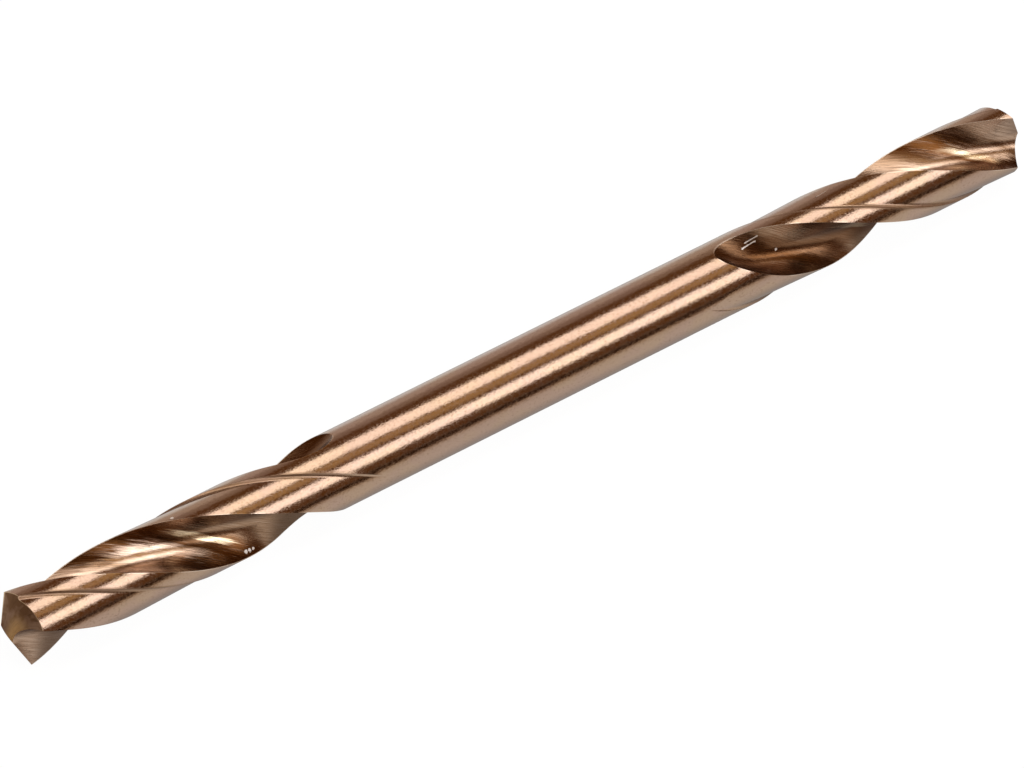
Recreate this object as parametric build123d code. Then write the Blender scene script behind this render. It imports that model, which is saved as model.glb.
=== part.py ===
"""Double-ended drill bit: a plain round shank with a short right-hand twist drill ground at each end.

The bit is one solid piece of steel. Its axis lies along X, with the origin at the middle of the
plain shank. Each end has a slight back taper: it is widest at the point and narrows to the shank.
Both ends are the same: one end is the other turned half round, so both cut clockwise.

Each end is worked out in its own frame, with the chisel edge near x = 0 and the body towards +x.
Angles run from +Y towards +Z, and the outer corner of the first lip lies at angle 0.
"""
import math
import os

from build123d import *

os.makedirs("parts", exist_ok=True)

# Overall sizes, in millimetres
bit_diameter = 3.175        # across the lips' outer corners
overall_length = 50.8
end_length = 17.3           # one end, from its chisel edge to the plain shank
back_taper = 0.015          # how much each end narrows from the lips' corners to the shank

# Turn of each end about the axis, in degrees: where the first lip's outer corner lies
left_point_turn = 56.3
right_point_turn = 110.9

# Flutes
flute_count = 2
flute_lead = 22.4
flute_arc = 91.0            # degrees of the round that one flute takes away
full_flute_length = 12.85   # from the chisel edge to where the flute starts to get shallow
exit_radius = 4.9           # curve by which the flute's floor rises out to the shank
exit_direction = 56.0       # degrees behind the lip's corner towards which the flute rises out
heel_wall_bow = 0.10        # how far the heel wall bows back from a straight wall

# Core and point
web_thickness = 0.635
point_angle = 135.0
relief_cone_angle = 62.0    # half angle of the cone that each flank is part of
relief_cone_setback = 1.27  # distance from the lip's inner end back to the cone's apex
relief_cone_height = 12.7   # long enough for its base to lie outside the bit
lip_relief = 11.5           # degrees that a flank falls away behind its lip

# Margins and body clearance
margin_arc = 25.0           # degrees of full diameter kept behind each leading edge
clearance_depth = 0.115     # how far the land is cut down beside the margin
heel_depth = 0.025          # how far it is still cut down at the heel
clearance_fillet_arc = 7.5  # degrees taken by the rounded step beside the margin
fillet_middle_arc = 2.25    # degrees from the margin to the middle point of the step's curve
fillet_middle_depth = 0.083  # depth of the step's curve at that point
clearance_length = 13.6     # from the chisel edge to where the clearance starts to get shallow
clearance_exit_radius = 57.0

# How far the cuts reach past the bit's surface
exit_overrun = 0.1          # height to which a run-out's floor is carried above the round
arc_run_on = 0.5            # share of its own length by which a wall's curve is carried on

# Fineness of the lofted cuts
flute_station_step = 0.9
exit_station_step = 0.3
clearance_station_step = 1.4

# Values worked out from the sizes above
bit_radius = bit_diameter / 2
shank_radius = (bit_diameter - back_taper) / 2
shank_length = overall_length - 2 * end_length
half_point = math.radians(point_angle / 2)
half_web = web_thickness / 2
lip_reach = math.sqrt(bit_radius**2 - half_web**2)
corner_depth = lip_reach / math.tan(half_point)
lip_turn = math.asin(half_web / bit_radius)
cut_overrun = bit_radius / 2
land_arc = 360 / flute_count - flute_arc


def polar(radius, degrees):
    return Vector(radius * math.cos(math.radians(degrees)), radius * math.sin(math.radians(degrees)))


def twist_at(depth):
    """Turn of the helix, in degrees, at a depth measured from the chisel edge."""
    return 360 * (depth - corner_depth) / flute_lead


def arc_rise(distance, radius):
    """Height of a circular run-out, a given distance after it has begun."""
    if distance <= 0:
        return 0.0
    return radius - math.sqrt(radius**2 - distance**2)


def exit_length(rise, radius):
    """Distance over which a circular run-out climbs by a given rise."""
    return math.sqrt(2 * radius * rise - rise**2)


def stations(start, full_end, end, full_step, exit_step):
    """Depths of a cut's sections: evenly spaced where it is full, and closer where it runs out."""
    full_count = math.ceil((full_end - start) / full_step)
    exit_count = math.ceil((end - full_end) / exit_step)
    full = [start + (full_end - start) * i / full_count for i in range(full_count)]
    running_out = [full_end + (end - full_end) * i / exit_count for i in range(exit_count + 1)]
    return full + running_out


def lip_point(reach):
    """A point of the first lip, carried along the helix to the plane of its outer corner."""
    depth = reach / math.tan(half_point)
    angle = math.degrees(math.atan2(-half_web, reach) + lip_turn) - twist_at(depth)
    return polar(math.hypot(reach, half_web), angle)


def placed(points, depth, shift, turn):
    """Move a section's points outward, turn them with the helix and lay them across the axis."""
    across = Plane(origin=(depth, 0, 0), x_dir=(0, 1, 0), z_dir=(1, 0, 0))
    return [across.from_local_coords((p + shift).rotate(Axis.Z, turn)) for p in points]


def run_on(start, middle, end):
    """A point on the arc through three points, carried on past its end."""
    arc = ThreePointArc(start, middle, end).edge()
    centre = arc.arc_center
    sweep = (start - centre).get_signed_angle(end - centre, Vector(0, 0, 1))
    return centre + (end - centre).rotate(Axis.Z, arc_run_on * sweep)


def flute_section(depth):
    """Section of one flute: the lip's rake wall, then the bowed heel wall, closed outside the bit."""
    corner = lip_point(lip_reach)
    rake_middle = lip_point(lip_reach / 2)
    web_point = lip_point(0)
    heel = polar(bit_radius, -flute_arc)
    wall = heel - web_point
    bow = Vector(wall.Y, -wall.X).normalized() * heel_wall_bow
    if bow.X > 0:
        bow = -bow
    heel_middle = (web_point + heel) / 2 + bow
    rake_out = run_on(web_point, rake_middle, corner)
    heel_out = run_on(web_point, heel_middle, heel)
    rise = arc_rise(depth - full_flute_length, exit_radius)
    outline = [rake_out, rake_middle, web_point, heel_middle, heel_out]
    p = placed(outline, depth, polar(rise, -exit_direction), twist_at(depth))
    edges = [
        ThreePointArc(p[0], p[1], p[2]),
        ThreePointArc(p[2], p[3], p[4]),
        Line(p[4], p[0]),
    ]
    return Wire([e.edge() for e in edges])


def flute_cut():
    """One flute, from in front of the point to where its floor has risen out of the round."""
    rise = bit_radius - half_web + exit_overrun
    end = full_flute_length + exit_length(rise, exit_radius)
    depths = stations(-cut_overrun, full_flute_length, end, flute_station_step, exit_station_step)
    return Solid.make_loft([flute_section(depth) for depth in depths])


def clearance_section(depth):
    """Section of the body clearance: a rounded step beside the margin, rising to the heel."""
    step_angle = margin_arc + clearance_fillet_arc
    middle_angle = (step_angle + land_arc) / 2
    margin_edge = polar(bit_radius, margin_arc)
    step_middle = polar(bit_radius - fillet_middle_depth, margin_arc + fillet_middle_arc)
    step_foot = polar(bit_radius - clearance_depth, step_angle)
    middle_depth = (clearance_depth + heel_depth) / 2
    floor_middle = polar(bit_radius - middle_depth, middle_angle)
    heel = polar(bit_radius - heel_depth, land_arc)
    step_out = run_on(step_foot, step_middle, margin_edge)
    heel_out = run_on(step_foot, floor_middle, heel)
    crown = polar(bit_radius + cut_overrun, middle_angle)
    outline = [step_out, step_middle, step_foot, floor_middle, heel_out, crown]
    rise = arc_rise(depth - clearance_length, clearance_exit_radius)
    p = placed(outline, depth, polar(rise, middle_angle), twist_at(depth))
    edges = [
        ThreePointArc(p[0], p[1], p[2]),
        ThreePointArc(p[2], p[3], p[4]),
        ThreePointArc(p[4], p[5], p[0]),
    ]
    return Wire([e.edge() for e in edges])


def clearance_cut():
    """Body clearance of one land, running out into the shank behind the flute's end."""
    rise = clearance_depth + exit_overrun
    end = clearance_length + exit_length(rise, clearance_exit_radius)
    step = clearance_station_step
    depths = stations(-cut_overrun, clearance_length, end, step, step / 2)
    return Solid.make_loft([clearance_section(depth) for depth in depths])


def flank_cone():
    """The cone that the first flank is part of, with the first lip along one of its sides."""
    lip = Vector(math.cos(half_point), math.sin(half_point), 0)
    behind = Vector(math.sin(math.radians(lip_relief)), 0, math.cos(math.radians(lip_relief)))
    inward = behind.cross(lip).normalized()
    if inward.X < 0:
        inward = -inward
    half_angle = math.radians(relief_cone_angle)
    axis = lip * math.cos(half_angle) + inward * math.sin(half_angle)
    apex = Vector(0, 0, -half_web) - lip * relief_cone_setback
    height = relief_cone_height
    cone = Cone(height * math.tan(half_angle), 0, height, align=(Align.CENTER, Align.CENTER, Align.MAX))
    return Rot(math.degrees(lip_turn), 0, 0) * (Plane(origin=apex, z_dir=-axis) * cone)


def repeated(cut):
    """The same cut once for each flute, evenly spaced about the axis."""
    return [Rot(i * 360 / flute_count, 0, 0) * cut for i in range(flute_count)]


def point_form():
    """Everything behind both flanks: the overlap of their cones, which meet in the chisel edge."""
    first, second = repeated(flank_cone())
    return first & second


def point_cut(form):
    """What grinding the point takes away: the round ahead of the flanks."""
    length = cut_overrun + 2 * corner_depth
    blank = Cylinder(bit_radius + cut_overrun, length, align=(Align.CENTER, Align.CENTER, Align.MIN))
    return Pos(-cut_overrun, 0, 0) * Rot(0, 90, 0) * blank - form


def end_cuts():
    """All cuts of one end, and the depth at which its chisel edge lies."""
    form = point_form()
    cuts = repeated(clearance_cut()) + repeated(flute_cut()) + [point_cut(form)]
    return cuts, form.bounding_box().min.X


def bar():
    """The uncut bar: the plain shank between two ends that widen slightly towards their points."""
    seated = (Align.CENTER, Align.CENTER, Align.MIN)
    shank = Cylinder(shank_radius, shank_length)
    end = Pos(0, 0, shank_length / 2) * Cone(shank_radius, bit_radius, end_length, align=seated)
    return Rot(0, 90, 0) * (shank + end + Rot(180, 0, 0) * end)


def drill_bit():
    bit = bar()
    cuts, tip = end_cuts()
    left_end = Pos(-overall_length / 2 - tip, 0, 0) * Rot(left_point_turn, 0, 0)
    right_end = Pos(overall_length / 2 + tip, 0, 0) * Rot(right_point_turn, 0, 0) * Rot(0, 0, 180)
    for end in (left_end, right_end):
        for cut in cuts:
            bit -= end * cut
    return bit


export_step(drill_bit(), "parts/drill_bit.step")
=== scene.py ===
import cmath
import math

import bmesh
import bpy
from mathutils import Matrix, Vector


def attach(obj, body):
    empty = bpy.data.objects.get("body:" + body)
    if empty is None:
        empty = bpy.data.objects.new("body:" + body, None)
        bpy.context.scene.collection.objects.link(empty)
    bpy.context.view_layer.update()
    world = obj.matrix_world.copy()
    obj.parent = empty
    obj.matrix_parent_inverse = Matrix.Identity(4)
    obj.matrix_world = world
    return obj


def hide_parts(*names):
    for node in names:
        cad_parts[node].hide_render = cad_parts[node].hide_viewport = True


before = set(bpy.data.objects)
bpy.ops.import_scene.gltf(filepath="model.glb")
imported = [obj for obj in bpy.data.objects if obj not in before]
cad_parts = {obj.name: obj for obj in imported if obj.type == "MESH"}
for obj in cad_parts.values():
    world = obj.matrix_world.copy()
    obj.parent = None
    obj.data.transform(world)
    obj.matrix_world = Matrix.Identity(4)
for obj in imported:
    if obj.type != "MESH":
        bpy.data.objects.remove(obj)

bpy.context.view_layer.update()
scene = bpy.context.scene
print("frame loaded:", ", ".join(sorted(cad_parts)))


# The bit, in mm and degrees. One end is worked out with its point near 0 and its body beyond,
# and a place across the axis is one complex number: its real part is y and its imaginary part is z.

bit = {
    "length": 50.8,
    "tipRadius": 1.5875,
    "shankRadius": 1.58,
    "shankLength": 16.2,
    "leftTurn": 56.3,  # where the first lip's corner lies, from +Y towards +Z
    "rightTurn": 110.9,
    "lead": 22.4,
    "fluteArc": 91.0,
    "fullFlute": 12.85,  # depth at which a flute starts to get shallow
    "exitRadius": 4.9,  # curve by which its floor rises out
    "exitWay": -56.0,  # direction in which it rises out
    "wallBow": 0.10,  # how far the heel wall bows back
    "valleyReach": 0.36,  # how far up each wall the valley is rounded
    "web": 0.635,
    "pointAngle": 135.0,
    "coneAngle": 62.0,  # half angle of a flank's cone
    "coneSetback": 1.27,  # from the lip's inner end back to the cone's top
    "lipRelief": 11.5,
    "margin": 25.0,
    "stepArc": 7.5,  # the rounded step beside a margin
    "stepMiddle": (2.25, 0.083),  # arc and depth to the middle of its curve
    "clearDepth": 0.115,  # how far a land is cut down at the step
    "heelDepth": 0.025,  # and at its heel
    "clearLength": 13.6,  # depth at which the clearance starts to get shallow
    "clearRadius": 57.0,  # curve by which it rises out
    "columns": {  # columns of faces in each stretch of half a section
        "margin": 14, "step": 6, "floor": 24, "rest": 14, "heelWall": 22, "webFoot": 4, "rake": 26,
    },
    "ringStep": 0.12,  # from ring to ring along a full flute
    "exitStep": 0.055,  # and where it rises out
    "endRings": 10,  # rings beyond each cut's end
    "ringGap": 0.015,  # from a cut's end to the next ring
    "justPast": 0.01,
    "plainDepth": 5.0,  # depth at which a full section is measured
    "pointBlend": 3.0,  # depth by which the rings no longer follow the flanks
    "bluntArc": 2.0,  # width at which a cut's thin end is left blunt
    "evenOut": 4.0,  # stretch over which the columns spread evenly
    "sharpAngle": 24.0,
    "joinWithin": 2e-4,
}

metre = 1000.0

# how far the searches for edges and ends look, and how often they narrow down

search = {
    "halvings": 40,
    "flankPasses": 14,
    "rakeShare": (-0.4, 1.0),  # shares of a wall's own arc
    "heelShare": (0.0, 1.4),
    "stepArc": 9.5,
    "floorEnd": 150.0,
    "restArc": 18.0,  # end of a land that the last columns cover
    "exitLength": 4.5,
    "shortOfEnd": 1e-4,
    "noCut": 9.0,  # radius where a cut is missed
    "chiselShift": (-0.2, 0.2),
}

tipRadius = bit["tipRadius"]
halfWeb = bit["web"] / 2
halfPoint = math.radians(bit["pointAngle"] / 2)
lipReach = math.sqrt(tipRadius**2 - halfWeb**2)
cornerDepth = lipReach / math.tan(halfPoint)
lipTurn = math.asin(halfWeb / tipRadius)
endLength = (bit["length"] - bit["shankLength"]) / 2
landArc = 180 - bit["fluteArc"]
counts = bit["columns"]
halfColumns = sum(counts.values())
allColumns = 2 * halfColumns


def turned(degrees):
    return cmath.exp(1j * math.radians(degrees))


def angleOf(point):
    return math.degrees(cmath.phase(point))


def twistAt(depth):
    return 360 * (depth - cornerDepth) / bit["lead"]


def liftAt(distance, radius):
    return radius - math.sqrt(radius**2 - max(distance, 0.0) ** 2)


def roundAt(depth):
    return tipRadius - (tipRadius - bit["shankRadius"]) * min(max(depth / endLength, 0.0), 1.0)


def circleThrough(a, b, c):
    w = (c - a) / (b - a)
    return (b - a) * (w - abs(w) ** 2) / (2j * w.imag) + a


def alongArc(arc, share):
    start, middle, end = arc
    centre = circleThrough(start, middle, end)
    sweep = cmath.phase((end - centre) / (start - centre))
    return centre + (start - centre) * cmath.exp(1j * share * sweep)


def solve(gap, low, high):
    lowSign = gap(low) > 0
    for _ in range(search["halvings"]):
        middle = (low + high) / 2
        if (gap(middle) > 0) == lowSign:
            low = middle
        else:
            high = middle
    return (low + high) / 2


def spread(start, end, count):
    return [start + (end - start) * i / count for i in range(count)]


# walls of a flute and of a land, at the plane of the lips' outer corners

def lipPoint(reach):
    turn = math.degrees(math.atan2(-halfWeb, reach) + lipTurn) - twistAt(reach / math.tan(halfPoint))
    return math.hypot(reach, halfWeb) * turned(turn)


webPoint = lipPoint(0)
rakeArc = (lipPoint(lipReach), lipPoint(lipReach / 2), webPoint)
heelPoint = tipRadius * turned(-bit["fluteArc"])
bow = (heelPoint - webPoint) * -1j
bow *= (-1 if bow.real > 0 else 1) * bit["wallBow"] / abs(bow)
heelArc = (webPoint, (webPoint + heelPoint) / 2 + bow, heelPoint)

stepAngle = bit["margin"] + bit["stepArc"]
clearWay = (stepAngle + landArc) / 2
stepArc = (
    tipRadius * turned(bit["margin"]),
    (tipRadius - bit["stepMiddle"][1]) * turned(bit["margin"] + bit["stepMiddle"][0]),
    (tipRadius - bit["clearDepth"]) * turned(stepAngle),
)
floorArc = (
    stepArc[2],
    (tipRadius - (bit["clearDepth"] + bit["heelDepth"]) / 2) * turned(clearWay),
    (tipRadius - bit["heelDepth"]) * turned(landArc),
)


heelFillet = bit["valleyReach"] / abs(heelPoint - webPoint)
rakeFillet = bit["valleyReach"] / abs(webPoint - rakeArc[0])
filletEnds = alongArc(heelArc, heelFillet), alongArc(rakeArc, 1 - rakeFillet)


def inValley(t):
    return (1 - t) ** 2 * filletEnds[0] + 2 * t * (1 - t) * webPoint + t**2 * filletEnds[1]


def heelWallAt(share):
    if share > heelFillet:
        return alongArc(heelArc, share)
    return inValley(0.5 - share / heelFillet / 2)


def rakeWallAt(share):
    if share < 1 - rakeFillet:
        return alongArc(rakeArc, share)
    return inValley(0.5 + (1 - share) / rakeFillet / 2)


def fluteLift(depth):
    return liftAt(depth - bit["fullFlute"], bit["exitRadius"]) * turned(bit["exitWay"])


def clearLift(depth):
    return liftAt(depth - bit["clearLength"], bit["clearRadius"]) * turned(clearWay)


def groundRadius(arc, lift, angle, inner):
    hub = circleThrough(*arc)
    size = abs(hub - arc[0])
    centre = (hub + lift) * turned(-angle)
    if abs(centre.imag) >= size:
        return search["noCut"]
    reach = math.sqrt(size**2 - centre.imag**2)
    return centre.real - reach if inner else centre.real + reach


def landRadius(angle, depth):
    lift = clearLift(depth)
    if angle < angleOf(stepArc[2] + lift):
        ground = groundRadius(stepArc, lift, angle, True)
    else:
        ground = groundRadius(floorArc, lift, angle, False)
    return min(ground, roundAt(depth))


def fluteRoots(depth):
    lift = fluteLift(depth)

    def rakeGap(share):
        return abs(rakeWallAt(share) + lift) - roundAt(depth)

    def heelGap(share):
        point = heelWallAt(share) + lift
        return abs(point) - landRadius(180 + angleOf(point), depth)

    return solve(rakeGap, *search["rakeShare"]), solve(heelGap, *search["heelShare"]), lift


def clearEdges(depth, landEnd):
    lift = clearLift(depth)
    foot = angleOf(stepArc[2] + lift)
    size = roundAt(depth)
    start = solve(lambda a: groundRadius(stepArc, lift, a, True) - size, foot - search["stepArc"], foot)
    end = solve(lambda a: groundRadius(floorArc, lift, a, False) - size, foot, search["floorEnd"])
    return start, foot, min(end, landEnd - search["restArc"])


# depths at which a flute and a clearance come out of the round

def fluteWidth(depth):
    rake, heel, lift = fluteRoots(depth)
    return angleOf(rakeWallAt(rake) + lift) - angleOf(heelWallAt(heel) + lift)


def clearWidth(depth):
    start, foot, end = clearEdges(depth, search["floorEnd"])
    return end - start


def webGap(depth):
    return abs(inValley(0.5) + fluteLift(depth)) - roundAt(depth)


def clearGap(depth):
    return abs(stepArc[2] + clearLift(depth)) - roundAt(depth)


def bluntEnd(full, gap, width):
    end = solve(gap, full, full + search["exitLength"])
    return solve(lambda d: width(d) - bit["bluntArc"], full, end - search["shortOfEnd"])


fluteBlunt = bluntEnd(bit["fullFlute"], webGap, fluteWidth)
clearBlunt = bluntEnd(bit["clearLength"], clearGap, clearWidth)
print("flutes end at %.3f mm and clearances at %.3f mm from the point" % (fluteBlunt, clearBlunt))


def halfRing(depth):
    rake, heel, lift = fluteRoots(min(depth, fluteBlunt))
    rakeEdge = angleOf(rakeWallAt(rake) + lift)
    landEnd = 180 + angleOf(heelWallAt(heel) + lift)
    start, foot, end = clearEdges(min(depth, clearBlunt), landEnd)
    angles = spread(rakeEdge, start, counts["margin"])
    angles += spread(start, foot, counts["step"])
    angles += spread(foot, end, counts["floor"])
    angles += spread(end, landEnd, counts["rest"])
    land = []
    for angle in angles:
        radius = landRadius(angle, depth) if depth <= clearBlunt else roundAt(depth)
        land.append(radius * turned(angle))
    wall = [-(heelWallAt(share) + lift) for share in spread(heel, 0.0, counts["heelWall"])]
    turnPoint = 1 + (rake - 1) * (1 - chiselShare) / (1 - rakeTop)
    wall += [-(rakeWallAt(share) + lift) for share in spread(1.0, turnPoint, counts["webFoot"])]
    wall += [-(rakeWallAt(share) + lift) for share in spread(turnPoint, rake, counts["rake"])]
    if depth > fluteBlunt:
        wall = [point / abs(point) * roundAt(depth) for point in wall]
    return land + wall


# the relieved point: each flank is part of a cone with its lip along one side

lipWay = Vector((math.cos(halfPoint), math.sin(halfPoint), 0))
relief = math.radians(bit["lipRelief"])
flankIn = Vector((math.sin(relief), 0, math.cos(relief))).cross(lipWay).normalized()
flankIn *= -1 if flankIn.x < 0 else 1
coneHalf = math.radians(bit["coneAngle"])
coneAxis = lipWay * math.cos(coneHalf) + flankIn * math.sin(coneHalf)
coneTop = Vector((0, 0, -halfWeb)) - lipWay * bit["coneSetback"]


def coneDepth(point):
    point = point * cmath.exp(-1j * lipTurn)
    q = Vector((0, point.real, point.imag)) - coneTop
    c = math.cos(coneHalf) ** 2
    a2 = coneAxis.x**2 - c
    a1 = 2 * (coneAxis.x * q.dot(coneAxis) - q.x * c)
    a0 = q.dot(coneAxis) ** 2 - q.length_squared * c
    root = math.sqrt(max(a1**2 - 4 * a2 * a0, 0.0))
    hits = (-a1 - root) / (2 * a2), (-a1 + root) / (2 * a2)
    return min(x for x in hits if q.dot(coneAxis) + x * coneAxis.x > 0)


def flankDepth(point):
    return max(coneDepth(point), coneDepth(-point))


def atFlank(point):
    depth = 0.0
    for _ in range(search["flankPasses"]):
        depth = flankDepth(point * turned(twistAt(depth)))
    return depth


def chiselGap(share):
    point = alongArc(rakeArc, share)
    point *= turned(twistAt(atFlank(point)))
    return coneDepth(point) - coneDepth(-point)


rakeTop = fluteRoots(0.0)[0]
chiselShare = solve(chiselGap, rakeTop, 1.0)
pointDepth = flankDepth(0j)
print("chisel edge meets the rake walls at %.3f of their arc" % chiselShare)
print("the point is at %.4f mm" % pointDepth)


def ringDepths():
    full, level = bit["fullFlute"], clearBlunt + bit["evenOut"]
    depths = spread(0.0, full, round(full / bit["ringStep"]))
    depths += spread(full, fluteBlunt, round((fluteBlunt - full) / bit["exitStep"]))
    depths.append(fluteBlunt)
    depths += spread(fluteBlunt + bit["ringGap"], clearBlunt, bit["endRings"])
    depths.append(clearBlunt)
    depths += spread(clearBlunt + bit["ringGap"], level, bit["endRings"])
    return depths + [level, bit["length"] / 2 + pointDepth]


def eased(share):
    return share * share * (3 - 2 * share)


def wholeRing(depth):
    half = halfRing(depth)
    return half + [-point for point in half]


# rings of one end, as depths and places: the first follows the flanks, and the last ones are evened out

def barrelRings(snap):
    pitch = 360 / allColumns
    past = clearBlunt + bit["justPast"]
    topDepths = [atFlank(point) for point in wholeRing(0.0)]
    lastAngles = []
    for column, point in enumerate(wholeRing(past)):
        angle = angleOf(point) + twistAt(clearBlunt)
        first = lastAngles[0] if lastAngles else angle
        lastAngles.append(angle - 360 * round((angle - column * pitch - first) / 360))
    base = snap(sum(a - c * pitch for c, a in enumerate(lastAngles)) / allColumns, pitch)
    rings = []
    for depth in ringDepths():
        if depth <= past:
            slide = 1 - min(depth / bit["pointBlend"], 1.0)
            ring = []
            for point, top in zip(wholeRing(depth), topDepths):
                at = depth + top * slide
                ring.append((at, point * turned(twistAt(at))))
        else:
            share = eased(min((depth - clearBlunt) / bit["evenOut"], 1.0))
            angles = [a + (base + c * pitch - a) * share for c, a in enumerate(lastAngles)]
            ring = [(depth, roundAt(depth) * turned(angle)) for angle in angles]
        rings.append(ring)
    return rings


def snapLeft(angle, pitch):
    return round((angle + bit["leftTurn"]) / pitch) * pitch - bit["leftTurn"]


def snapRight(angle, pitch):
    far = bit["rightTurn"] + 180
    return far - round((far - angle) / pitch) * pitch


def placeLeft(depth, point):
    point *= turned(bit["leftTurn"])
    return Vector((depth - bit["length"] / 2 - pointDepth, point.real, point.imag))


def placeRight(depth, point):
    point = -point.conjugate() * turned(bit["rightTurn"])
    return Vector((bit["length"] / 2 + pointDepth - depth, point.real, point.imag))


def addSheet(bm, columns, rows, placeAt, surfaceAt, finishAt):
    before = set(bm.verts)
    bmesh.ops.create_grid(bm, x_segments=columns, y_segments=rows, size=0.5)
    grid = {}
    for v in bm.verts:
        if v not in before:
            grid[v] = round((v.co.x + 0.5) * columns), round((v.co.y + 0.5) * rows)
    uv = bm.loops.layers.uv.get("ground") or bm.loops.layers.uv.new("ground")
    for face in {f for v in grid for f in v.link_faces}:
        spots = [grid[loop.vert] for loop in face.loops]
        for loop, spot in zip(face.loops, spots):
            loop[uv].uv = surfaceAt(*spot)
        face.material_index = finishAt(min(c for c, r in spots), min(r for c, r in spots))
        face.smooth = True
    for v, spot in grid.items():
        v.co = placeAt(*spot)


# lengths along a full section, from the leading edge of a land: the surface maps measure by them

nominal = wholeRing(bit["plainDepth"])
ringLengths = [0.0]
for a, b in zip(nominal, nominal[1:] + nominal[:1]):
    ringLengths.append(ringLengths[-1] + abs(b - a))
wallStart = halfColumns - counts["heelWall"] - counts["webFoot"] - counts["rake"]
halfLength, landLength = ringLengths[halfColumns], ringLengths[wallStart]
stepLength = ringLengths[counts["margin"]]
print("half a section is %.2f mm: step at %.2f, heel at %.2f" % (halfLength, stepLength, landLength))


finishes = {"groundRound": 0, "groundFlute": 1, "groundFlank": 2}


def addBarrel(bm, snap, place):
    rings = barrelRings(snap)
    depths = ringDepths()

    def placeAt(column, row):
        return place(*rings[row][column % allColumns])

    def surfaceAt(column, row):
        return ringLengths[column], depths[row]

    def finishAt(column, row):
        inFlute = column % halfColumns >= wallStart and depths[row] < fluteBlunt - search["shortOfEnd"]
        return finishes["groundFlute"] if inFlute else finishes["groundRound"]

    addSheet(bm, allColumns, len(rings) - 1, placeAt, surfaceAt, finishAt)
    return rings[0]


def chiselPoint(start, end, share):
    straight = start + (end - start) * share
    across = (end - start) * 1j / abs(end - start)

    def flankGap(shift):
        return coneDepth(straight + shift * across) - coneDepth(-straight - shift * across)

    return straight + solve(flankGap, *search["chiselShift"]) * across


def addFlank(bm, outline, place, half):
    ring = [point for depth, point in outline]
    ring = ring[half * halfColumns:] + ring[:half * halfColumns]
    wide = wallStart
    deep = counts["rake"]
    outer = ring[:wide + 1]
    heelSide = ring[wide:wide + deep + 1]
    lipSide = [ring[-c % allColumns] for c in range(deep + 1)]
    start, end = lipSide[-1], heelSide[-1]
    chisel = [start] + [chiselPoint(start, end, c / wide) for c in range(1, wide)] + [end]

    def pointAt(column, row):
        u, v = column / wide, row / deep
        sides = (1 - v) * outer[column] + v * chisel[column] + (1 - u) * lipSide[row] + u * heelSide[row]
        outerCorners = (1 - u) * outer[0] + u * outer[-1]
        chiselCorners = (1 - u) * chisel[0] + u * chisel[-1]
        return sides - (1 - v) * outerCorners - v * chiselCorners

    def placeAt(column, row):
        point = pointAt(column, row)
        return place(flankDepth(point), point)

    def surfaceAt(column, row):
        return column / wide, row / deep

    addSheet(bm, wide, deep, placeAt, surfaceAt, lambda column, row: finishes["groundFlank"])


def buildBit():
    bm = bmesh.new()
    for snap, place in ((snapLeft, placeLeft), (snapRight, placeRight)):
        outline = addBarrel(bm, snap, place)
        for half in (0, 1):
            addFlank(bm, outline, place, half)
    bmesh.ops.remove_doubles(bm, verts=bm.verts[:], dist=bit["joinWithin"])
    bmesh.ops.recalc_face_normals(bm, faces=bm.faces[:])
    for edge in bm.edges:
        if len(edge.link_faces) == 2:
            edge.smooth = edge.calc_face_angle(0.0) < math.radians(bit["sharpAngle"])
    loose = [e for e in bm.edges if len(e.link_faces) != 2]
    print("bit mesh:", len(bm.verts), "points,", len(bm.faces), "faces,", len(loose), "open edges")
    bmesh.ops.scale(bm, vec=(1 / metre, 1 / metre, 1 / metre), verts=bm.verts[:])
    mesh = bpy.data.meshes.new("drillBitBody")
    bm.to_mesh(mesh)
    bm.free()
    piece = bpy.data.objects.new("drillBitBody", mesh)
    scene.collection.objects.link(piece)
    return piece


drillBitBody = buildBit()
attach(drillBitBody, "root")
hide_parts("drill_bit")


# shader maths: a wrapped socket can be added, multiplied and so on

class Value:
    def __init__(self, material, socket):
        self.material, self.socket = material, socket

    def maths(self, operation, *others, swap=False, clamp=False):
        values = [self, *others]
        if swap:
            values.reverse()
        settings = {"operation": operation, "use_clamp": clamp}
        return self.material.node("Math", settings, dict(enumerate(values)))

    def __add__(self, other):
        return self.maths("ADD", other)

    def __radd__(self, other):
        return self.maths("ADD", other)

    def __sub__(self, other):
        return self.maths("SUBTRACT", other)

    def __rsub__(self, other):
        return self.maths("SUBTRACT", other, swap=True)

    def __mul__(self, other):
        return self.maths("MULTIPLY", other)

    def __rmul__(self, other):
        return self.maths("MULTIPLY", other)

    def __pow__(self, other):
        return self.maths("POWER", other)

    def __gt__(self, other):
        return self.maths("GREATER_THAN", other)

    def __lt__(self, other):
        return self.maths("LESS_THAN", other)

    def size(self):
        return self.maths("ABSOLUTE")

    def least(self, other):
        return self.maths("MINIMUM", other)

    def most(self, other):
        return self.maths("MAXIMUM", other)

    def clamped(self):
        return self.maths("ADD", 0.0, clamp=True)


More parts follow.
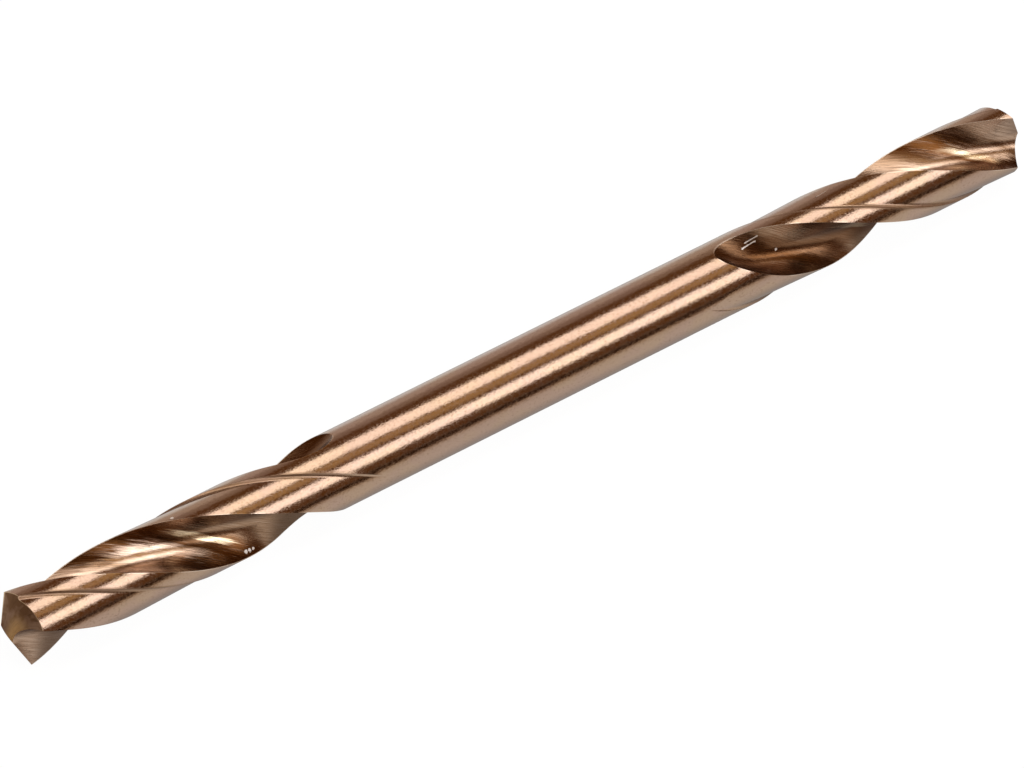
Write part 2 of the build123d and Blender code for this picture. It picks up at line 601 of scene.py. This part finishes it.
class Finish:
    def __init__(self, name):
        self.material = bpy.data.materials.new(name)
        self.material.use_nodes = True
        self.tree = self.material.node_tree
        self.tree.nodes.clear()

    def node(self, kind, settings=None, values=None, output=0):
        made = self.tree.nodes.new("ShaderNode" + kind)
        for name, setting in (settings or {}).items():
            if name == "stops":
                while len(made.color_ramp.elements) < len(setting):
                    made.color_ramp.elements.new(1.0)
                for element, (position, color) in zip(made.color_ramp.elements, setting):
                    element.position, element.color = position, color
            else:
                setattr(made, name, setting)
        for name, value in (values or {}).items():
            if isinstance(value, Value):
                self.tree.links.new(value.socket, made.inputs[name])
            else:
                made.inputs[name].default_value = value
        return Value(self, made.outputs[output])

    def split(self, vector):
        made = self.node("SeparateXYZ", values={"Vector": vector}).socket.node
        return [Value(self, output) for output in made.outputs]

    def place(self, x, y, z):
        return self.node("CombineXYZ", values={"X": x, "Y": y, "Z": z})

    def noise(self, spot, scales, detail=2.0, roughness=0.5):
        vector = self.place(*[part * scale for part, scale in zip(spot, scales)])
        values = {"Vector": vector, "Scale": 1.0, "Detail": detail, "Roughness": roughness}
        return self.node("TexNoise", {"noise_dimensions": "3D"}, values)

    def smooth(self, value, low, high):
        values = {"Value": value, "From Min": low, "From Max": high}
        return self.node("MapRange", {"interpolation_type": "SMOOTHSTEP"}, values)

    def blend(self, share, first, second):
        made = self.tree.nodes.new("ShaderNodeMix")
        made.data_type = "RGBA"
        for index, value in ((0, share), (6, first), (7, second)):
            if isinstance(value, Value):
                self.tree.links.new(value.socket, made.inputs[index])
            else:
                made.inputs[index].default_value = value
        return Value(self, made.outputs[2])

    def finish(self, shader):
        made = self.tree.nodes.new("ShaderNodeOutputMaterial")
        self.tree.links.new(shader.socket, made.inputs["Surface"])
        return self.material


steel = {
    "rose": (0.385, 0.262, 0.195, 1.0),
    "gold": (0.395, 0.272, 0.188, 1.0),
    "brown": (0.17, 0.085, 0.035, 1.0),
    "dark": (0.055, 0.028, 0.014, 1.0),
    "pale": (0.62, 0.50, 0.40, 1.0),
    "bare": (0.90, 0.86, 0.82, 1.0),
    "pit": (0.01, 0.006, 0.004, 1.0),
    "edgeHighlightWidth": 0.04,  # painted highlight along an edge, in mm
    "edgeCore": 0.35,  # share of a line or mark that has its full colour
    "edgeHighlightShare": 0.9,
    "spotCore": 0.6,
    "strokeCore": 0.5,
    "ragged": 0.4,
    "grainRange": (0.3, 0.7),
    "lineHeight": 5.0e-6,  # in metres
}

# marks that the photograph shows: places on the bit in mm, each with its size

burrs = (
    (-17.30, 0.26, 1.53, 0.10), (-14.71, -1.04, -0.83, 0.12), (-14.50, -1.00, -0.88, 0.11),
    (-14.30, -0.95, -0.95, 0.09), (-13.95, -0.93, -1.05, 0.08), (12.55, -0.235, 0.355, 0.08),
)
pits = ((22.07, -1.306, -0.697, 0.045), (15.10, 0.39, 1.46, 0.04), (13.4, -1.15, -0.35, 0.04))
nicks = (
    ((10.97, 0.042, 0.997), (11.66, 0.068, 1.054), 0.055),
    ((11.19, 0.138, 1.142), (11.79, 0.107, 1.238), 0.045),
    ((15.10, 0.39, 1.463), (15.66, 0.436, 1.469), 0.016),
    ((14.6, 0.62, 1.41), (15.4, 0.66, 1.41), 0.014),
)


def millimetres(f):
    spot = f.node("TexCoord", output=3)
    return [part * metre for part in f.split(spot)]


def surface(f):
    return f.split(f.node("UVMap", {"uv_map": "ground"}))[:2]


# mask of a painted highlight along an edge
def edgeHighlightMask(f, distance, width):
    return 1.0 - f.smooth(distance, width * steel["edgeCore"], width)


def distanceTo(spot, x, y, z):
    return ((spot[0] - x) ** 2.0 + (spot[1] - y) ** 2.0 + (spot[2] - z) ** 2.0).maths("SQRT")


def anyOf(marks):
    found = marks[0]
    for other in marks[1:]:
        found = found.most(other)
    return found


def softMark(f, distance, size, ragged, core):
    return 1.0 - f.smooth(distance + ragged * size, size * core, size)


def spots(f, spot, places, ragged):
    core = steel["spotCore"]
    return anyOf([
        softMark(f, distanceTo(spot, x, y, z), size, ragged, core) for x, y, z, size in places
    ])


def strokes(f, spot, places, ragged):
    found = []
    for start, end, size in places:
        way = [b - a for a, b in zip(start, end)]
        length = math.hypot(*way)
        steps = [(spot[i] - start[i]) * (way[i] / length**2) for i in range(3)]
        share = (steps[0] + steps[1] + steps[2]).clamped()
        near = [start[i] + share * way[i] for i in range(3)]
        found.append(softMark(f, distanceTo(spot, *near), size, ragged, steel["strokeCore"]))
    return anyOf(found)


def metal(f, color, rough, height, distance):
    bump = f.node("Bump", values={"Height": height, "Distance": distance, "Strength": 1.0})
    values = {"Base Color": color, "Metallic": 1.0, "Roughness": rough, "Normal": bump}
    return f.finish(f.node("BsdfPrincipled", values=values))


# the round: shank, margins and cleared lands
# a range holds the noise or the lengths between which a look comes in, and a share how much of it

roundLook = {
    "fine": (10.0, 12.0, 12.0),  # grains in a mm, along and across
    "specks": (9.0, 14.0, 14.0),
    "clouds": (0.5, 0.9, 0.9),
    "goldRange": (0.42, 0.62),
    "speckRange": (0.54, 0.72),
    "speckShare": 0.3,
    "stepFrom": (-0.12, 0.0),  # the step's painted shade, browner, in mm from the margin's end
    "stepTo": (0.10, 0.30),
    "stepShadeShare": 0.5,
    "stepRough": 0.22,
    "edgeHighlightRange": (0.44, 0.54),
    "nickShare": 0.8,
    "rough": (0.11, 0.24),
    "bareRough": 0.25,
    "speckHeight": 0.5,
    "grainHeight": 3.8e-6,  # in metres
}


def makeRound():
    f = Finish("groundRound")
    look = roundLook
    spot = millimetres(f)
    u, depth = surface(f)
    fine = f.noise(spot, look["fine"], detail=3.0, roughness=0.6)
    speck = f.noise(spot, look["specks"])
    cloud = f.noise(spot, look["clouds"])
    around = u.maths("MODULO", halfLength)
    # the step beside each margin is painted browner as painted shade in that recess, and it is rougher too
    stepStart = f.smooth(around, *[stepLength + shift for shift in look["stepFrom"]])
    stepEnd = f.smooth(around, *[stepLength + shift for shift in look["stepTo"]])
    step = stepStart * (1.0 - stepEnd) * (1.0 - f.smooth(depth, bit["clearLength"], clearBlunt))
    color = f.blend(f.smooth(cloud, *look["goldRange"]), steel["rose"], steel["gold"])
    color = f.blend(f.smooth(speck, *look["speckRange"]) * look["speckShare"], color, steel["brown"])
    color = f.blend(step * look["stepShadeShare"], color, steel["brown"])
    # a painted highlight along each land's edges beside the flutes, in pale
    edge = edgeHighlightMask(f, around.least(landLength - around), steel["edgeHighlightWidth"])
    edge = edge * f.smooth(cloud, *look["edgeHighlightRange"]) * (around < landLength) * (depth < fluteBlunt)
    color = f.blend(edge * steel["edgeHighlightShare"], color, steel["pale"])
    ragged = speck - steel["ragged"]
    color = f.blend(spots(f, spot, pits, ragged), color, steel["pit"])
    bare = spots(f, spot, burrs, ragged).most(strokes(f, spot, nicks, ragged) * look["nickShare"])
    color = f.blend(bare, color, steel["bare"])
    low, high = look["rough"]
    rough = f.smooth(fine, *steel["grainRange"]) * (high - low) + low
    rough = rough + step * look["stepRough"] + bare * look["bareRough"]
    return metal(f, color, rough, fine + speck * look["speckHeight"], look["grainHeight"])


# the flutes: painted reflection and shade bands, in the bit's own bronze and brown colours, lie along the
# slanted grinding lines

fluteColors = {
    "burnt": (0.055, 0.018, 0.004, 1.0),
    "brown": (0.125, 0.045, 0.012, 1.0),
    "umber": (0.175, 0.092, 0.048, 1.0),
    "bronze": (0.32, 0.20, 0.125, 1.0),
    "tan": (0.40, 0.27, 0.19, 1.0),
    "rose": (0.66, 0.49, 0.38, 1.0),
    "straw": (0.90, 0.72, 0.49, 1.0),
}

# each painted light and shade band's distance across the lines in mm: deep in a flute, and beside its edges

deepReflectionBands = (
    (-3.9, "umber"), (-3.6, "bronze"), (-2.2, "bronze"), (-2.0, "brown"), (-1.9, "straw"), (-1.7, "straw"),
    (-1.6, "umber"), (-1.3, "burnt"), (-1.0, "rose"), (-0.1, "rose"), (0.25, "bronze"), (0.75, "rose"),
    (1.1, "rose"), (1.5, "tan"), (1.9, "brown"), (2.2, "straw"), (2.4, "tan"), (2.8, "tan"),
    (3.1, "umber"), (3.4, "tan"),
)
sideReflectionBands = (
    (-3.9, "umber"), (-3.6, "bronze"), (-2.3, "bronze"), (-1.9, "brown"), (0.2, "burnt"), (0.8, "tan"),
    (1.4, "bronze"), (1.9, "brown"), (2.8, "burnt"), (3.5, "tan"),
)

fluteLook = {
    "slant": 0.60,  # mm that a grinding line moves across in a mm along
    "fine": (32.0, 0.8, 0.0),  # grains in a mm, across and along
    "coarse": (9.0, 0.5, 3.0),
    "clouds": (0.8, 1.2, 1.2),
    "specks": (10.0, 10.0, 10.0),
    "bandShifts": (0.35, 0.30),  # mm by which clouds and coarse lines move a band
    "brushShifts": (0.8, 0.9),  # mm by which fine and coarse lines move the deep part's edges
    "deepFrom": (2.84, 3.16),  # mm across, from a land's leading edge
    "deepTo": (4.02, 4.52),
    "brownRange": (0.50, 0.68),
    "brownShare": 0.5,
    "paleRange": (0.46, 0.30),
    "paleShare": 0.25,
    "speckRange": (0.64, 0.76),
    "speckShare": 0.6,
    "valleyAt": 3.35,  # the right end's painted valley shade, in mm across
    "valleyShift": 0.9,  # how far its middle has moved by the run-out
    "valleyShiftDepths": (11.0, 14.0),
    "valleyWidth": (0.35, 0.85),
    "valleyDepths": (7.4, 8.2),
    "valleyShadeShare": 0.7,
    "endDepths": (14.0, 15.0),
    "endShare": 0.7,
    "rough": (0.14, 0.32),
    "edgeRough": 0.2,
    "bareRough": 0.2,
    "coarseHeight": 0.8,
}


def paintedBands(f, across, bands):
    low, high = bands[0][0], bands[-1][0]
    stops = [((at - low) / (high - low), fluteColors[name]) for at, name in bands]
    return f.node("ValToRGB", {"stops": stops}, {"Fac": (across - low) * (1 / (high - low))})


def makeFlute():
    f = Finish("groundFlute")
    look = fluteLook
    spot = millimetres(f)
    u, depth = surface(f)
    around = u.maths("MODULO", halfLength)
    slant = around - depth * look["slant"]
    fine = f.noise((slant, depth, 1.0), look["fine"], roughness=0.6)
    coarse = f.noise((slant, depth, 1.0), look["coarse"])
    cloud = f.noise(spot, look["clouds"])
    speck = f.noise(spot, look["specks"])
    cloudShift, coarseShift = look["bandShifts"]
    across = slant + (cloud - 0.5) * cloudShift + (coarse - 0.5) * coarseShift
    fineShift, coarseShift = look["brushShifts"]
    brushed = around + (fine - 0.5) * fineShift + (coarse - 0.5) * coarseShift
    deep = f.smooth(brushed, *look["deepFrom"]) * (1.0 - f.smooth(brushed, *look["deepTo"]))
    # painted reflection and shade bands across the grinding lines, deep in the flute and beside its edges
    color = f.blend(deep, paintedBands(f, across, sideReflectionBands), paintedBands(f, across, deepReflectionBands))
    color = f.blend(f.smooth(fine, *look["brownRange"]) * look["brownShare"], color, steel["brown"])
    color = f.blend(f.smooth(fine, *look["paleRange"]) * look["paleShare"], color, steel["pale"])
    color = f.blend(f.smooth(speck, *look["speckRange"]) * look["speckShare"], color, steel["dark"])
    # painted shade down the right end's flute valley
    valleyAt = f.smooth(depth, *look["valleyShiftDepths"]) * look["valleyShift"] + look["valleyAt"]
    valleyShade = 1.0 - f.smooth((around - valleyAt).size(), *look["valleyWidth"])
    valleyShade = valleyShade * f.smooth(depth, *look["valleyDepths"]) * (spot[0] > 0.0)
    color = f.blend(valleyShade * look["valleyShadeShare"], color, fluteColors["brown"])
    color = f.blend(f.smooth(depth, *look["endDepths"]) * look["endShare"], color, fluteColors["umber"])
    # a painted highlight along each flute's edges, in pale, with rougher steel there too
    edge = edgeHighlightMask(f, (around - landLength).least(halfLength - around), steel["edgeHighlightWidth"])
    color = f.blend(edge * steel["edgeHighlightShare"], color, steel["pale"])
    ragged = speck - steel["ragged"]
    bare = spots(f, spot, burrs, ragged).most(strokes(f, spot, nicks, ragged))
    color = f.blend(bare, color, steel["bare"])
    low, high = look["rough"]
    rough = f.smooth(fine, *steel["grainRange"]) * (high - low) + low
    rough = rough + edge * look["edgeRough"] + bare * look["bareRough"]
    return metal(f, color, rough, fine + coarse * look["coarseHeight"], steel["lineHeight"])


# the flanks: brown, with a painted golden highlight towards the heel's end of the chisel edge and painted
# highlights along their rims

flankLook = {
    "brown": (0.17, 0.088, 0.042, 1.0),
    "rose": (0.29, 0.178, 0.112, 1.0),
    "goldenHighlight": (0.72, 0.46, 0.20, 1.0),
    "rimHighlight": (0.62, 0.45, 0.28, 1.0),
    "lines": (40.0, 2.0, 1.0),
    "clouds": (1.6, 1.6, 1.6),
    "roseRange": (0.42, 0.60),
    "goldenAlong": (0.30, 0.80),  # shares of the way from the lip to the heel
    "goldenInward": (0.25, 0.70),  # and from the outer edge to the chisel edge
    "goldenShare": 0.8,
    "lineRange": (0.5, 0.8),
    "lineShare": 0.4,
    "rimStretch": 1.2,
    "rimWidth": 0.03,
    "rough": 0.34,
}


def makeFlank():
    f = Finish("groundFlank")
    look = flankLook
    spot = millimetres(f)
    u, v = surface(f)
    lines = f.noise((u, v, spot[0]), look["lines"], roughness=0.6)
    cloud = f.noise(spot, look["clouds"])
    color = f.blend(f.smooth(cloud, *look["roseRange"]), look["brown"], look["rose"])
    # a painted golden highlight towards the heel's end of the chisel edge
    goldenHighlight = f.smooth(u, *look["goldenAlong"]) * f.smooth(v, *look["goldenInward"])
    color = f.blend(goldenHighlight * look["goldenShare"], color, look["goldenHighlight"])
    color = f.blend(f.smooth(lines, *look["lineRange"]) * look["lineShare"], color, steel["dark"])
    # a painted highlight along the lip and the outer edge
    rimHighlight = edgeHighlightMask(f, u.least(v * look["rimStretch"]), look["rimWidth"])
    color = f.blend(rimHighlight, color, look["rimHighlight"])
    return metal(f, color, look["rough"], lines, steel["lineHeight"])


for make in (makeRound, makeFlute, makeFlank):
    drillBitBody.data.materials.append(make())
print("steel finishes made")


# stage, camera and lamps

stage = {
    "floorSize": 4.0,  # in metres
    "floorColor": (0.86, 0.86, 0.86, 1.0),
    "floorGlow": 0.94,
    "white": (1.0, 1.0, 1.0, 1.0),
    "whiteStrength": 1.03,
    "worldColor": (0.19, 0.078, 0.018, 1.0),
}

# painted reflection: what the metal sees of the floor, by y in mm: plain, but a painted dark strip in front
# and a painted shadow under the bit

mirrored = {
    "stripNear": (-12.0, -4.0),
    "stripFar": (-240.0, -160.0),
    "underFrom": (-2.8, -0.5),
    "underTo": (3.0, 8.0),
    "underShare": 0.7,
    "stops": (
        (0.0, (0.05, 0.02, 0.006, 1)), (0.12, (0.14, 0.065, 0.025, 1)), (0.35, (0.40, 0.28, 0.18, 1)),
        (0.65, (0.80, 0.70, 0.60, 1)), (1.0, (0.97, 0.97, 0.97, 1)),
    ),
}

# the camera: distance, aside, below and middle are in bit diameters, and unit is one in metres

view = {
    "heading": 35.96,
    "elevation": 43.43,
    "lens": 246.1,
    "sensor": 36.0,
    "clips": (0.01, 20.0),
    "distance": 90.12598,
    "aside": 0.357343,
    "below": 0.2035712,
    "middle": 0.18,
    "unit": 0.003175,
}


def makeFloor():
    bm = bmesh.new()
    bmesh.ops.create_grid(bm, x_segments=1, y_segments=1, size=stage["floorSize"] / 2)
    bmesh.ops.translate(bm, vec=(0, 0, -tipRadius / metre), verts=bm.verts[:])
    mesh = bpy.data.meshes.new("floor")
    bm.to_mesh(mesh)
    bm.free()
    floor = bpy.data.objects.new("floor", mesh)
    scene.collection.objects.link(floor)
    f = Finish("paleFloor")
    seen = f.node("LightPath")
    rays = ("Is Camera Ray", "Is Glossy Ray", "Is Transmission Ray")
    camera, glossy, transmission = [Value(f, seen.socket.node.outputs[name]) for name in rays]
    share = camera.most(glossy).most(transmission) * stage["floorGlow"]
    plain = f.node("BsdfDiffuse", values={"Color": stage["floorColor"]})
    glow = f.node("Emission", values={"Color": stage["white"], "Strength": stage["whiteStrength"]})
    y = millimetres(f)[1]
    # painted reflection for glossy rays: a dark strip in front and a painted shadow under the bit
    bright = f.smooth(y, *mirrored["stripNear"]).most(1.0 - f.smooth(y, *mirrored["stripFar"]))
    shadowUnder = f.smooth(y, *mirrored["underFrom"]) * (1.0 - f.smooth(y, *mirrored["underTo"]))
    color = f.node("ValToRGB", {"stops": mirrored["stops"]}, {"Fac": bright})
    color = f.blend(shadowUnder * mirrored["underShare"], color, mirrored["stops"][0][1])
    reflected = f.node("Emission", values={"Color": color, "Strength": 1.0})
    direct = f.node("MixShader", values={0: share, 1: plain, 2: glow})
    mesh.materials.append(f.finish(f.node("MixShader", values={0: glossy, 1: direct, 2: reflected})))


def makeWorld():
    world = bpy.data.worlds.new("studio")
    world.use_nodes = True
    tree = world.node_tree
    tree.nodes.clear()
    seen = tree.nodes.new("ShaderNodeLightPath")
    mix = tree.nodes.new("ShaderNodeMixShader")
    room = tree.nodes.new("ShaderNodeBackground")
    room.inputs["Color"].default_value = stage["worldColor"]
    white = tree.nodes.new("ShaderNodeBackground")
    white.inputs["Color"].default_value = stage["white"]
    output = tree.nodes.new("ShaderNodeOutputWorld")
    either = tree.nodes.new("ShaderNodeMath")
    either.operation = "MAXIMUM"
    tree.links.new(seen.outputs["Is Camera Ray"], either.inputs[0])
    tree.links.new(seen.outputs["Is Transmission Ray"], either.inputs[1])
    tree.links.new(either.outputs[0], mix.inputs[0])
    tree.links.new(room.outputs[0], mix.inputs[1])
    tree.links.new(white.outputs[0], mix.inputs[2])
    tree.links.new(mix.outputs[0], output.inputs["Surface"])
    scene.world = world


def makeCamera():
    heading, rise = math.radians(view["heading"]), math.radians(view["elevation"])
    right = Vector((math.cos(heading), -math.sin(heading), 0))
    level = Vector((math.sin(heading), math.cos(heading), 0))
    forward = level * math.cos(rise) - Vector((0, 0, math.sin(rise)))
    up = level * math.sin(rise) + Vector((0, 0, math.cos(rise)))
    spot = Vector((view["middle"], 0, 0)) - right * view["aside"] - up * view["below"]
    spot -= forward * view["distance"]
    data = bpy.data.cameras.new("camera")
    data.lens, data.sensor_width = view["lens"], view["sensor"]
    data.clip_start, data.clip_end = view["clips"]
    camera = bpy.data.objects.new("camera", data)
    scene.collection.objects.link(camera)
    turn = Matrix((right, up, -forward)).transposed()
    camera.matrix_world = Matrix.Translation(spot * view["unit"]) @ turn.to_4x4()
    scene.camera = camera


# each lamp leans from straight above towards the camera's side, in degrees: its sizes are in metres

lamps = {
    "overhead": {
        "lean": -4.0, "distance": 0.40, "ahead": 0.19, "length": 0.90, "width": 0.20,
        "glow": 2.6, "color": (0.98, 1.0, 0.99),
    },
    "front": {
        "lean": 54.0, "distance": 0.45, "ahead": 0.21, "length": 0.90, "width": 0.20,
        "glow": 2.95, "color": (0.95, 1.0, 1.04),
    },
    "between": {
        "lean": 22.5, "distance": 0.46, "ahead": 0.22, "length": 0.90, "width": 0.13,
        "glow": 0.52, "color": (1.0, 0.74, 0.38),
    },
    "back": {
        "lean": -76.0, "distance": 0.60, "ahead": 0.28, "length": 1.30, "width": 0.28,
        "glow": 0.55, "color": (1.0, 1.0, 1.0),
    },
    "backHigh": {
        "lean": -54.0, "distance": 0.62, "ahead": 0.29, "length": 1.30, "width": 0.20,
        "glow": 0.26, "color": (1.0, 1.0, 1.0),
    },
}


def makeLamp(name, lamp):
    lean = math.radians(lamp["lean"])
    away = Vector((0, -math.sin(lean), math.cos(lean)))
    data = bpy.data.lights.new(name, "AREA")
    data.shape = "RECTANGLE"
    data.size, data.size_y = lamp["length"], lamp["width"]
    data.energy = lamp["glow"] * math.pi * lamp["length"] * lamp["width"]
    data.color = lamp["color"]
    made = bpy.data.objects.new(name, data)
    scene.collection.objects.link(made)
    along = Vector((1, 0, 0))
    turn = Matrix((along, away.cross(along), away)).transposed()
    made.matrix_world = Matrix.Translation(away * lamp["distance"] + along * lamp["ahead"]) @ turn.to_4x4()


makeFloor()
makeWorld()
makeCamera()
for name, lamp in lamps.items():
    makeLamp(name, lamp)
print("stage, camera and", len(lamps), "lamps made")

scene.view_settings.view_transform = "Standard"
